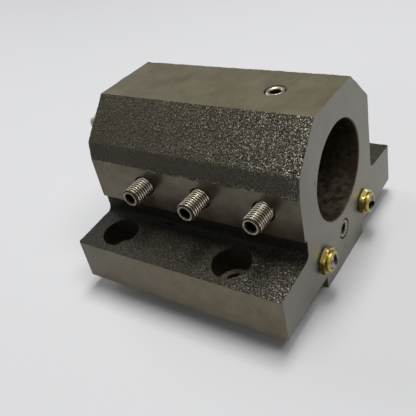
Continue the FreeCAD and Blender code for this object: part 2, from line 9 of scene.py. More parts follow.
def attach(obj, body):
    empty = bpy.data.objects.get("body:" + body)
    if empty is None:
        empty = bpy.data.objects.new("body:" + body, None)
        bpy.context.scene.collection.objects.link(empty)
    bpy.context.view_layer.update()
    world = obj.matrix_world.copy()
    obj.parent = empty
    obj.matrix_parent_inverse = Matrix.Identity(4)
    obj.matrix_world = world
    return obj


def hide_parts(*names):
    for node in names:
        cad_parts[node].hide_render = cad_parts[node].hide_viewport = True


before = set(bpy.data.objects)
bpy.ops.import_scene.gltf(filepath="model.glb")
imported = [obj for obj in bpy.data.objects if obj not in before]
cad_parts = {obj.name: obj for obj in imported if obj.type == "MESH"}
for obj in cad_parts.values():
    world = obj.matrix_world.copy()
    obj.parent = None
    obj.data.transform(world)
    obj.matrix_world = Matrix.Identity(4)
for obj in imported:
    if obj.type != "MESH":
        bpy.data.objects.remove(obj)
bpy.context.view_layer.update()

# Boring bar holder. Lengths are in millimetres until a mesh is written; the origin is the bore
# axis in the front face, +X points out of that face and +Z up.
MM = 0.001
LENGTH = 122.8
TOP = 39.4
TOP_HALF = 20.5
WALL = 39.4
SHOULDER = 20.5
PAD = 41.2
PAD_TOP = 11.0
PAD_BOTTOM = -12.8
FLANGE_HALF = 67.9
FLANGE_TOP = -23.2
FLANGE_BOTTOM = -48.5
BOLT_SEAT = -37.5
TENON_HALF = 23.6
TENON_BOTTOM = -56.0
BORE = 25.0
GALLERY = -35.575
NOZZLE_OUT = 25.2
CLAMP_FIRST = 19.4
CLAMP_PITCH = 35.0
CLAMP_OUT = 53.0
MIDDLE_OUT = 1.2
HEX_LOW = 0.7
HEX_HIGH = 3.2
LIP = 5.1
BALL_AT = 2.9
COVER_FACE = 3.3
COVER_CIRCLE = 65.5
BALL_RADIUS = 4.0
BALL_FLAT = 3.122
BALL_CUP = 4.05
BALL_DRILL = 1.70
WASHER_BORE = 5.05

# Sides of the cells that the cast skin is cut into, on the photographed side and on the far side
NEAR_CELL = 0.56
FAR_CELL = 0.95

# Material slots of the casting, and of every screw and plug
SKIN, TOP_FLAT, END_FACE, MILLED, PAD_FACE, BORE_FACE, HOLE_FACE, SEAT_FACE = range(8)
CREST, VALLEY, HEX_WALL, OUTER_END = range(4)
# Dark brown of dirt in machining lines, also used as painted shade at the rear of milled sides.
LINE_DIRT_AND_SHADE = (0.05, 0.045, 0.035)


# Materials
class Paint:
    """Node graph of one material. Patterns are sized in millimetres on the object."""

    def __init__(self, name, metallic=0.0, roughness=0.5, specular=0.5):
        self.material = bpy.data.materials.new(name)
        self.material.use_nodes = True
        self.tree = self.material.node_tree
        self.shader = self.tree.nodes["Principled BSDF"]
        self.shader.inputs["Metallic"].default_value = metallic
        self.shader.inputs["Roughness"].default_value = roughness
        self.shader.inputs["Specular IOR Level"].default_value = specular
        self.place = self.tree.nodes.new("ShaderNodeTexCoord").outputs["Object"]
        self.normal = None

    def wire(self, value, socket):
        if isinstance(value, bpy.types.NodeSocket):
            self.tree.links.new(value, socket)
        else:
            socket.default_value = value

    def math(self, operation, *values, clamp=False):
        node = self.tree.nodes.new("ShaderNodeMath")
        node.operation = operation
        node.use_clamp = clamp
        for value, socket in zip(values, node.inputs):
            self.wire(value, socket)
        return node.outputs[0]

    def axis(self, name):
        """One coordinate of the surface, in millimetres."""
        node = self.tree.nodes.new("ShaderNodeSeparateXYZ")
        self.wire(self.place, node.inputs[0])
        return self.math("MULTIPLY", node.outputs[name], 1000.0)

    def ramp(self, value, low, high):
        """0 at low, 1 at high, even between."""
        node = self.tree.nodes.new("ShaderNodeMapRange")
        node.clamp = True
        self.wire(value, node.inputs["Value"])
        node.inputs["From Min"].default_value = low
        node.inputs["From Max"].default_value = high
        return node.outputs["Result"]

    def spots(self, size, detail=3.0, rough=0.5, shift=0.0):
        """Cloudy noise; size is one length or three, in millimetres."""
        sizes = size if isinstance(size, tuple) else (size,) * 3
        scale = self.tree.nodes.new("ShaderNodeVectorMath")
        scale.operation = "MULTIPLY"
        self.wire(self.place, scale.inputs[0])
        scale.inputs[1].default_value = [1000.0 / length for length in sizes]
        move = self.tree.nodes.new("ShaderNodeVectorMath")
        move.operation = "ADD"
        self.wire(scale.outputs[0], move.inputs[0])
        move.inputs[1].default_value = (shift, shift * 0.7, -shift)
        node = self.tree.nodes.new("ShaderNodeTexNoise")
        node.inputs["Scale"].default_value = 1.0
        node.inputs["Detail"].default_value = detail
        node.inputs["Roughness"].default_value = rough
        self.wire(move.outputs[0], node.inputs["Vector"])
        return node.outputs["Fac"]

    def grains(self, size, shift=0.0):
        """Pebbly cells: distance to the grain's middle, and a chance value of each grain."""
        scale = self.tree.nodes.new("ShaderNodeVectorMath")
        scale.operation = "MULTIPLY_ADD"
        self.wire(self.place, scale.inputs[0])
        scale.inputs[1].default_value = (1000.0 / size,) * 3
        scale.inputs[2].default_value = (shift, shift, shift)
        node = self.tree.nodes.new("ShaderNodeTexVoronoi")
        node.inputs["Scale"].default_value = 1.0
        self.wire(scale.outputs[0], node.inputs["Vector"])
        chance = self.tree.nodes.new("ShaderNodeSeparateColor")
        self.wire(node.outputs["Color"], chance.inputs[0])
        return node.outputs["Distance"], chance.outputs[0]

    def shiny_grains(self, size, reach, share, shift=0.0):
        """1 on the middle of some grains, chosen by chance; share is how many of them."""
        distance, chance = self.grains(size, shift)
        core = self.ramp(distance, reach, reach * 0.55)
        picked = self.math("MULTIPLY", self.math("SUBTRACT", share, chance), 3.0, clamp=True)
        return self.math("MULTIPLY", core, picked)

    def near(self, point, reach):
        """1 at a point, 0 at reach, in millimetres."""
        node = self.tree.nodes.new("ShaderNodeVectorMath")
        node.operation = "DISTANCE"
        self.wire(self.place, node.inputs[0])
        node.inputs[1].default_value = [value * MM for value in point]
        return self.ramp(node.outputs["Value"], reach * MM, reach * MM * 0.35)

    def mix(self, factor, first, second):
        node = self.tree.nodes.new("ShaderNodeMix")
        node.data_type = "RGBA"
        self.wire(factor, node.inputs["Factor"])
        for value, socket in ((first, node.inputs["A"]), (second, node.inputs["B"])):
            self.wire(value if isinstance(value, bpy.types.NodeSocket) else (*value, 1.0), socket)
        return node.outputs["Result"]

    def span(self, factor, low, high):
        node = self.tree.nodes.new("ShaderNodeMapRange")
        self.wire(factor, node.inputs["Value"])
        node.inputs["To Min"].default_value = low
        node.inputs["To Max"].default_value = high
        return node.outputs["Result"]

    def bump(self, height, depth, strength=1.0):
        """Relief of that depth in millimetres, on top of what is there."""
        node = self.tree.nodes.new("ShaderNodeBump")
        node.inputs["Strength"].default_value = strength
        node.inputs["Distance"].default_value = depth * MM
        self.wire(height, node.inputs["Height"])
        if self.normal is not None:
            self.wire(self.normal, node.inputs["Normal"])
        self.normal = node.outputs["Normal"]

    def done(self, colour=None, roughness=None, metallic=None):
        for value, name in ((colour, "Base Color"), (roughness, "Roughness"), (metallic, "Metallic")):
            if value is not None:
                self.wire(value, self.shader.inputs[name])
        if self.normal is not None:
            self.wire(self.normal, self.shader.inputs["Normal"])
        return self.material


def skin_colour(paint, contrast, glint_and_wear):
    """Fine blasted grain: pits, mid tones, and rubbed grain tops brightened as painted glints; contrast and
    glint_and_wear run from 0 to 1.
    """
    pebble, tone = paint.grains(1.05)
    fine = paint.spots(0.62, detail=3.0, rough=0.6, shift=5.0)
    tops = paint.spots(0.72, detail=2.0, rough=0.65, shift=15.0)
    cloud = paint.spots(18.0, detail=3.0, shift=2.0)
    mean = paint.mix(cloud, (0.034, 0.028, 0.016), (0.050, 0.044, 0.027))
    mean = paint.mix(paint.math("MULTIPLY", tone, 0.25), mean, (0.090, 0.080, 0.055))
    pit = paint.math("MULTIPLY", paint.ramp(fine, 0.51, 0.41), contrast)
    colour = paint.mix(paint.math("MULTIPLY", pit, 0.9), mean, (0.006, 0.005, 0.003))
    pale = paint.math("MULTIPLY", paint.ramp(fine, 0.52, 0.66), contrast)
    colour = paint.mix(paint.math("MULTIPLY", pale, 0.7), colour, (0.23, 0.208, 0.155))
    # Grain tops: rubbed bare metal, brightened further to near white as painted glints.
    glinting_tops = paint.math("MULTIPLY", paint.ramp(tops, 0.56, 0.66), glint_and_wear)
    colour = paint.mix(glinting_tops, colour, (0.74, 0.70, 0.62))
    paint.bump(pebble, -0.30, 0.8)
    paint.bump(fine, 0.22, 0.9)
    return colour, glinting_tops


def cast_skin():
    """Blasted sand casting: dark and pebbly, with rubbed grain tops and painted glints that brighten towards
    the front, and painted shade on the flange tops and in the corners below the pad.
    """
    paint = Paint("cast_skin", metallic=0.5, specular=0.15)
    forward = paint.ramp(paint.axis("X"), -LENGTH, 0.0)
    # Front strip where a painted edge highlight joins rubbed chips on the edge.
    edge = paint.math("ADD", paint.ramp(paint.axis("X"), -9.0, 0.0),
                      paint.ramp(paint.axis("X"), -1.8, -0.3))
    across = paint.math("ABSOLUTE", paint.axis("Y"))
    up = paint.axis("Z")
    patch = paint.ramp(paint.spots(7.0, detail=3.0, rough=0.6, shift=8.0), 0.30, 0.62)
    band = paint.math("MULTIPLY", paint.ramp(up, SHOULDER + 1.2, SHOULDER - 1.8),
                      paint.ramp(up, PAD_TOP - 0.5, PAD_TOP + 2.0))
    band = paint.math("MULTIPLY", band, paint.ramp(paint.axis("Y"), -WALL + 4.0, -WALL + 2.0))
    # Painted glints and rubbed grain tops: more towards the front and along its edge, less on the band over
    # the pad and on the far side.
    glint_and_wear = paint.math("MULTIPLY_ADD", paint.math("POWER", forward, 1.5), 0.66, 0.10)
    glint_and_wear = paint.math("ADD", paint.math("MULTIPLY", glint_and_wear, paint.math("MULTIPLY_ADD", patch, 0.5, 0.5)),
                       paint.math("MULTIPLY", edge, 0.5))
    kept = paint.math("SUBTRACT", 1.0, paint.math("MULTIPLY", band, 0.55))
    near = paint.math("MULTIPLY_ADD", paint.ramp(paint.axis("Y"), 30.0, 0.0), 0.8, 0.2)
    glint_and_wear = paint.math("MULTIPLY", paint.math("MULTIPLY", glint_and_wear, kept), near, clamp=True)
    below_pad = paint.ramp(up, PAD_BOTTOM - 2.0, PAD_BOTTOM - 8.0)
    # Grain contrast also grows towards the front, along with the painted glints.
    contrast = paint.math("MULTIPLY", paint.math("MULTIPLY_ADD", forward, 0.45, 0.55), kept)
    contrast = paint.math("ADD", contrast, paint.math("MULTIPLY", below_pad, 0.35), clamp=True)
    colour, glinting_tops = skin_colour(paint, contrast, glint_and_wear)
    colour = paint.mix(paint.math("MULTIPLY", band, 0.45), colour, (0.068, 0.063, 0.052))
    rust = paint.ramp(paint.spots(9.0, detail=4.0, rough=0.6, shift=9.0), 0.50, 0.75)
    rust = paint.math("MULTIPLY", rust, paint.ramp(forward, 0.95, 0.1))
    colour = paint.mix(paint.math("MULTIPLY", rust, 0.7), colour, (0.062, 0.045, 0.020))
    # Painted shade, nearly black, over the fillet and flange tops below the pad, deeper towards the rear.
    painted_flange_shade = paint.math("MULTIPLY", below_pad, paint.math("MULTIPLY_ADD", forward, -0.50, 0.88))
    colour = paint.mix(painted_flange_shade, colour, (0.012, 0.010, 0.007))
    # Painted shade in the corner at the foot of the wall below the pad, on both sides.
    painted_corner_shade = paint.math("MULTIPLY", paint.ramp(across, WALL + 11.0, WALL + 2.0),
                        paint.ramp(up, PAD_BOTTOM + 1.0, PAD_BOTTOM - 1.0))
    colour = paint.mix(paint.math("MULTIPLY", painted_corner_shade, 0.85), colour, (0.006, 0.006, 0.005))
    return paint.done(colour, paint.span(glinting_tops, 0.55, 0.30))


def milled_pad():
    """Milled screw pad: smooth and brownish, with the cast skin reaching down over its upper edge."""
    paint = Paint("milled_pad", metallic=0.85)
    line = paint.spots((18.0, 9.0, 0.35), detail=3.0, rough=0.65)
    cloud = paint.spots(9.0, detail=4.0, rough=0.55, shift=3.0)
    metal = paint.mix(paint.ramp(cloud, 0.3, 0.7), (0.092, 0.077, 0.050), (0.152, 0.134, 0.098))
    stain = paint.ramp(paint.spots(5.5, detail=5.0, rough=0.65, shift=7.0), 0.56, 0.82)
    metal = paint.mix(paint.math("MULTIPLY", stain, 0.45), metal, (0.075, 0.048, 0.024))
    wander = paint.spots(7.0, detail=4.0, rough=0.7, shift=12.0)
    edge = paint.math("MULTIPLY_ADD", wander, 9.0, -5.6)
    skin = paint.ramp(paint.math("ADD", paint.axis("Z"), edge), PAD_TOP - 1.7, PAD_TOP - 1.1)
    colour = skin_colour(paint, 1.0, 0.8)[0]
    paint.normal = None
    paint.bump(paint.math("MULTIPLY", paint.spots(0.8, detail=3.0, shift=6.0), skin), 0.35, 1.0)
    paint.bump(line, 0.003, 1.0)
    return paint.done(paint.mix(skin, metal, colour), paint.span(cloud, 0.24, 0.38))


def machined(name, base, tint, streak, roughness=0.42, metallic=0.9, rust=0.25, pits=0.0, rear_shade=0.0):
    """Milled or ground cast iron; streak is the pattern's size along X, Y and Z, and rear_shade is how much
    painted shade darkens its rear end.
    """
    paint = Paint(name, metallic=metallic)
    line = paint.spots(streak, detail=3.0, rough=0.65)
    cloud = paint.spots(11.0, detail=4.0, rough=0.55, shift=3.0)
    colour = paint.mix(paint.ramp(cloud, 0.3, 0.7), base, tint)
    stain = paint.ramp(paint.spots(5.5, detail=5.0, rough=0.65, shift=7.0), 0.56, 0.82)
    colour = paint.mix(paint.math("MULTIPLY", stain, rust), colour, (0.075, 0.050, 0.026))
    colour = paint.mix(paint.math("MULTIPLY", paint.ramp(line, 0.35, 0.75), 0.22), colour, LINE_DIRT_AND_SHADE)
    if pits:
        pit = paint.shiny_grains(2.6, 0.30, pits, 21.0)
        colour = paint.mix(paint.math("MULTIPLY", pit, 0.8), colour, (0.02, 0.016, 0.010))
        chip = paint.shiny_grains(1.7, 0.22, pits * 0.8, 31.0)
        colour = paint.mix(paint.math("MULTIPLY", chip, 0.5), colour, (0.45, 0.42, 0.36))
    # Painted shade towards the rear end of the face.
    rear = paint.math("MULTIPLY", paint.ramp(paint.axis("X"), -60.0, -LENGTH), rear_shade)
    colour = paint.mix(rear, colour, LINE_DIRT_AND_SHADE)
    paint.bump(line, 0.004, 1.0)
    return paint.done(colour, paint.span(cloud, roughness - 0.07, roughness + 0.09))


def end_face():
    """Ground front and rear faces with two punch dots."""
    paint = Paint("ground_end_face", metallic=0.9)
    line = paint.spots((9.0, 0.22, 14.0), detail=3.0, rough=0.6)
    cloud = paint.spots(16.0, detail=3.0, shift=3.0)
    colour = paint.mix(paint.ramp(cloud, 0.3, 0.7), (0.252, 0.243, 0.209), (0.305, 0.296, 0.256))
    shaded = paint.math("MULTIPLY", paint.ramp(paint.axis("Y"), -14.0, -44.0), 0.22)
    colour = paint.mix(shaded, colour, (0.10, 0.095, 0.08))
    marks = paint.math("MULTIPLY", paint.ramp(line, 0.4, 0.8), 0.10)
    colour = paint.mix(marks, colour, (0.1, 0.09, 0.08))
    for point, reach in (((0.0, -26.5, 9.6), 1.1), ((0.0, -0.4, -47.3), 1.1)):
        dot = paint.near(point, reach)
        colour = paint.mix(paint.math("MULTIPLY", dot, 0.85), colour, (0.04, 0.035, 0.03))
        paint.bump(dot, -0.2, 0.6)
    paint.bump(line, 0.003, 1.0)
    return paint.done(colour, paint.span(cloud, 0.46, 0.58))


def bore_wall():
    """Bored wall with oil patches and rust: painted shade leaves it black deep inside, and painted light
    makes its lower side paler towards the mouth, streaked with rust there.
    """
    paint = Paint("bore_wall", metallic=0.7)
    line = paint.spots((0.35, 30.0, 30.0), detail=3.0, rough=0.6)
    cloud = paint.spots((6.0, 4.5, 4.5), detail=4.0, rough=0.6, shift=4.0)
    blotch = paint.spots((4.0, 3.2, 3.2), detail=4.0, rough=0.65, shift=14.0)
    low = paint.ramp(paint.math("ADD", paint.axis("Z"), paint.math("MULTIPLY", cloud, 14.0)), 14.0, -16.0)
    mouth = paint.ramp(paint.axis("X"), -48.0, -6.0)
    rim = paint.ramp(paint.math("ADD", paint.axis("X"), paint.math("MULTIPLY", cloud, 6.0)), -3.0, 2.4)
    lit = paint.math("MULTIPLY", low, paint.math("MULTIPLY_ADD", mouth, 0.92, 0.08))
    colour = paint.mix(lit, (0.014, 0.011, 0.008), (0.290, 0.250, 0.185))
    patch = paint.math("MULTIPLY", paint.ramp(blotch, 0.44, 0.62), 0.85)
    colour = paint.mix(patch, colour, (0.040, 0.030, 0.020))
    rust = paint.math("MULTIPLY", paint.ramp(cloud, 0.50, 0.66),
                      paint.math("MULTIPLY_ADD", mouth, 0.75, 0.05))
    colour = paint.mix(rust, colour, (0.112, 0.070, 0.036))
    colour = paint.mix(paint.math("MULTIPLY", rim, 0.75), colour, (0.102, 0.066, 0.036))
    paint.bump(line, 0.006, 1.0)
    return paint.done(colour, paint.span(cloud, 0.34, 0.52))


def drilled():
    """Inside of drilled and counterbored holes: black, from old oil and from painted shade in the holes."""
    paint = Paint("drilled_wall", metallic=0.4)
    cloud = paint.spots(2.2, detail=5.0, rough=0.7)
    colour = paint.mix(paint.ramp(cloud, 0.35, 0.70), (0.008, 0.006, 0.004), (0.040, 0.030, 0.019))
    paint.bump(cloud, 0.05, 0.8)
    return paint.done(colour, paint.span(cloud, 0.40, 0.65))


def counter_seat():
    """Turned seat under a bolt head: speckled, brassy brown."""
    paint = Paint("counterbore_seat", metallic=0.7)
    cloud = paint.spots(0.65, detail=4.0, rough=0.75)
    colour = paint.mix(paint.ramp(cloud, 0.44, 0.62), (0.06, 0.044, 0.022), (0.80, 0.68, 0.43))
    paint.bump(cloud, 0.08, 1.0)
    return paint.done(colour, paint.span(cloud, 0.30, 0.5))


def bright_steel(name, base, dirt, roughness=0.28, amount=0.5):
    """Turned steel with clouds of old oil; amount is how much of the base they cover."""
    paint = Paint(name, metallic=1.0)
    cloud = paint.spots(1.3, detail=4.0, rough=0.6)
    colour = paint.mix(paint.math("MULTIPLY", paint.ramp(cloud, 0.45, 0.72), amount), base, dirt)
    paint.bump(paint.spots(0.25, detail=2.0), 0.006, 1.0)
    return paint.done(colour, paint.span(cloud, roughness - 0.06, roughness + 0.12))


def turned_plate():
    """Faced plate: rings about the bore axis."""
    paint = Paint("turned_plate", metallic=0.9)
    around = paint.math("POWER", paint.axis("Y"), 2.0)
    upright = paint.math("POWER", paint.axis("Z"), 2.0)
    away = paint.math("SQRT", paint.math("ADD", around, upright))
    ring = paint.math("SINE", paint.math("MULTIPLY", away, 21.0))
    cloud = paint.spots(9.0, detail=4.0, rough=0.6)
    stain = paint.ramp(paint.spots(5.0, detail=5.0, rough=0.65, shift=6.0), 0.55, 0.8)
    colour = paint.mix(cloud, (0.30, 0.29, 0.27), (0.38, 0.37, 0.35))
    colour = paint.mix(paint.math("MULTIPLY", stain, 0.4), colour, (0.12, 0.08, 0.045))
    paint.bump(ring, 0.004, 1.0)
    return paint.done(colour, paint.span(cloud, 0.3, 0.45))


def brass():
    """Yellow brass with painted shade on its lower side, strongest on the hexagon, and small brown specks.
    """
    paint = Paint("turned_brass", metallic=1.0)
    cloud = paint.spots(1.6, detail=4.0, rough=0.65)
    fleck = paint.spots(0.5, detail=3.0, shift=4.0)
    colour = paint.mix(paint.ramp(cloud, 0.35, 0.7), (0.68, 0.555, 0.19), (0.49, 0.39, 0.120))
    # Painted shade on the lower side of the nozzle, by height below its axis.
    under = paint.ramp(paint.math("MULTIPLY_ADD", cloud, 1.0, paint.axis("Z")),
                       GALLERY + 4.6, GALLERY + 3.6)
    hexagon = paint.math("MULTIPLY_ADD", paint.ramp(paint.axis("X"), HEX_HIGH + 0.1, HEX_HIGH - 0.1),
                         0.55, 0.30)
    colour = paint.mix(paint.math("MULTIPLY", under, hexagon), colour, (0.120, 0.082, 0.020))
    specks = paint.math("MULTIPLY", paint.ramp(fleck, 0.55, 0.75), 0.5)
    colour = paint.mix(specks, colour, (0.10, 0.065, 0.02))
    paint.bump(paint.spots(0.3, detail=2.0), 0.004, 1.0)
    return paint.done(colour, paint.span(cloud, 0.22, 0.36))


def rubber(name, low, high, roughness):
    """Dull rubber with a fine grain."""
    paint = Paint(name, metallic=0.0, specular=0.4)
    cloud = paint.spots(1.0, detail=4.0, rough=0.6)
    paint.bump(cloud, 0.03, 1.0)
    return paint.done(paint.mix(cloud, low, high), paint.span(cloud, roughness - 0.1, roughness + 0.1))


CAST = cast_skin()
MILLED_TOP = machined("milled_top", (0.162, 0.137, 0.080), (0.200, 0.176, 0.113), (0.30, 16.0, 16.0),
                      rust=0.35)
MILLED_SIDE = machined("milled_side", (0.150, 0.125, 0.083), (0.200, 0.174, 0.125), (14.0, 9.0, 0.30),
                       rust=0.55, pits=0.16, rear_shade=0.28)
PAD_STEEL = milled_pad()
END = end_face()
WALL_OF_BORE = bore_wall()
HOLE = drilled()
SEAT = counter_seat()
SCREW = bright_steel("screw_steel", (0.62, 0.56, 0.45), (0.20, 0.15, 0.09), 0.24, 0.6)
SCREW_END = bright_steel("screw_end", (0.30, 0.265, 0.20), (0.09, 0.07, 0.045), 0.30, 0.7)
# Thread valleys: dirt and painted shade, much darker than the crests.
ROOT = bright_steel("thread_root", (0.055, 0.044, 0.029), (0.02, 0.014, 0.008), 0.45)
# Hexagon socket walls and the ball's jet hole: nearly black steel, painted shade deep in these holes.
SOCKET = bright_steel("socket_wall", (0.045, 0.038, 0.028), (0.010, 0.008, 0.006), 0.4, 0.8)
PLUG = bright_steel("plug_steel", (0.37, 0.335, 0.265), (0.12, 0.09, 0.055), 0.30, 0.7)
CAP = bright_steel("cap_screw_steel", (0.50, 0.45, 0.35), (0.20, 0.16, 0.10), 0.32)
BALL = bright_steel("ball_steel", (0.34, 0.31, 0.25), (0.09, 0.07, 0.045), 0.26, 0.6)
BRASS = brass()
PLATE = turned_plate()
WASHER = rubber("sealing_washer", (0.030, 0.026, 0.020), (0.070, 0.058, 0.042), 0.55)
SEAL = rubber("seal_rubber", (0.012, 0.012, 0.012), (0.030, 0.030, 0.030), 0.6)


# Mesh helpers
def add_piece(name, mesh, node, body, materials):
    piece = bpy.data.objects.new(name, mesh)
    bpy.context.scene.collection.objects.link(piece)
    for material in materials:
        mesh.materials.append(material)
    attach(piece, body)
    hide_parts(node)
    return piece


def crisp(mesh_data, angle):
    """Smooth shading that breaks at edges sharper than the angle, in degrees."""
    for edge in mesh_data.edges:
        edge.smooth = len(edge.link_faces) == 2 and edge.calc_face_angle(0.0) < math.radians(angle)
    for face in mesh_data.faces:
        face.smooth = True


class Lathe:
    """Rings of points about +Z, skinned in order. Radius and height may vary round a ring."""

    def __init__(self, count):
        self.count = count
        self.turn = np.arange(count) * 2 * math.pi / count
        self.rings = []
        self.paints = []

    def ring(self, radius, height, paint=0):
        """Next ring; paint is the material of the band that leads to it."""
        radius = np.broadcast_to(np.asarray(radius, float), (self.count,))
        height = np.broadcast_to(np.asarray(height, float), (self.count,))
        points = np.stack([radius * np.cos(self.turn), radius * np.sin(self.turn), height], axis=1)
        self.rings.append(points)
        self.paints.append(paint)

    def hexagon(self, flats):
        """Radius of a hexagon at each angle, a corner at angle 0."""
        sector = np.mod(self.turn, math.pi / 3) - math.pi / 6
        return flats / 2 / np.cos(sector)

    def mesh(self, name, matrix, angle=40.0, loop=False):
        bm = bmesh.new()
        rows = [[bm.verts.new(point) for point in ring] for ring in self.rings]
        steps = list(zip(rows, rows[1:], self.paints[1:]))
        if loop:
            steps.append((rows[-1], rows[0], self.paints[0]))
        for low, high, paint in steps:
            for index in range(self.count):
                after = (index + 1) % self.count
                face = bm.faces.new((low[index], low[after], high[after], high[index]))
                face.material_index = paint
        if not loop:
            bm.faces.new(list(reversed(rows[0]))).material_index = self.paints[0]
            bm.faces.new(rows[-1]).material_index = self.paints[-1]
        bmesh.ops.remove_doubles(bm, verts=bm.verts, dist=1e-4)
        bmesh.ops.recalc_face_normals(bm, faces=bm.faces)
        bm.transform(Matrix.Scale(MM, 4) @ matrix)
        crisp(bm, angle)
        mesh = bpy.data.meshes.new(name)
        bm.to_mesh(mesh)
        bm.free()
        return mesh


TO_FRONT = Matrix.Rotation(math.radians(90), 4, "Y")
TO_REAR = Matrix.Rotation(math.radians(-90), 4, "Y")
TO_LEFT = Matrix.Rotation(math.radians(90), 4, "X")
TO_RIGHT = Matrix.Rotation(math.radians(-90), 4, "X")


def at(x, y, z):
    return Matrix.Translation((x, y, z))


# The casting
def is_cast(middle, normal):
    """True where the block keeps its cast skin: slopes, walls, the band over the pad and flange tops."""
    across = abs(middle.y)
    if abs(normal.x) > 0.05:
        return False
    on_slope = across + middle.z > TOP + TOP_HALF - 0.8
    if on_slope and across > TOP_HALF - 0.001 and middle.z < TOP - 0.001:
        return True
    if across < WALL - 0.01 or middle.z < FLANGE_TOP - 4.0:
        return False
    if middle.y < 0 and PAD_BOTTOM + 0.5 < middle.z < PAD_TOP - 0.1:
        return False
    if middle.z > FLANGE_TOP + 3.9:
        return across < PAD + 0.01
    return normal.z > 0.2 or across < WALL + 3.0


def paint_of(middle, normal):
    """Material slot of a machined face."""
    away = math.hypot(middle.y, middle.z)
    if away < BORE + 4.0 and abs(normal.x) < 0.9 and abs(middle.z) < BORE + 1.5:
        drilled_side = abs(middle.y) > BORE + 1.0 or middle.z > BORE + 1.0
        return HOLE_FACE if drilled_side and middle.x > -LENGTH + 3 else BORE_FACE
    if abs(middle.x) < 0.01 or abs(middle.x + LENGTH) < 0.01:
        return END_FACE
    if abs(middle.z - TOP) < 0.01:
        return TOP_FLAT
    if abs(abs(middle.y) - FLANGE_HALF) < 1.1 and abs(normal.z) < 0.1:
        return MILLED
    if abs(middle.y + PAD) < 0.01 and abs(normal.y) > 0.99:
        return PAD_FACE
    if middle.z < FLANGE_BOTTOM + 0.01 and (normal.z < -0.3 or abs(abs(middle.y) - TENON_HALF) < 0.9):
        return MILLED
    if abs(middle.z - BOLT_SEAT) < 0.01 and normal.z > 0.9:
        return SEAT_FACE
    return HOLE_FACE


def sliced(bm, faces, places, axis):
    """Cut the faces at every place along the axis, and return all their parts."""
    if not places or not faces:
        return faces
    middle = len(places) // 2
    geometry = set(faces)
    for face in faces:
        geometry.update(face.edges)
        geometry.update(face.verts)
    cut = bmesh.ops.bisect_plane(bm, geom=list(geometry), dist=1e-4,
                                 plane_co=axis * places[middle], plane_no=axis)
    low, high = [], []
    for item in cut["geom"]:
        if isinstance(item, bmesh.types.BMFace):
            side = low if item.calc_center_bounds().dot(axis) < places[middle] else high
            side.append(item)
    return sliced(bm, low, places[:middle], axis) + sliced(bm, high, places[middle + 1:], axis)


def spread(low, high, step):
    count = max(1, round((high - low) / step))
    return [low + (high - low) * index / count for index in range(1, count)]


def pitted(point):
    """Share of the full relief here: less to the rear, on the band over the pad and in the fillets."""
    share = 0.62 + 0.38 * (1.0 + point.x / LENGTH)
    if point.y < 0 and PAD_TOP - 1.0 < point.z < SHOULDER - 1.0:
        share *= 0.75
    if FLANGE_TOP - 0.5 < point.z < FLANGE_TOP + 4.0 and abs(point.y) < WALL + 4.0:
        share *= 0.7
    return share


def relief(point):
    """Height of the cast skin over its mean surface: pebbles on a slow swell."""
    pebble = noise.voronoi(point / 1.15)[0][0]
    height = 0.38 * (0.42 - pebble)
    height += 0.13 * noise.noise(point / 0.9)
    height += 0.10 * noise.noise(point / 2.6 + Vector((7, 3, 1)))
    height *= pitted(point)
    height += 0.10 * noise.noise(point / 7.0 + Vector((1, 9, 4)))
    return height + 0.12 * noise.noise(point / 24.0)


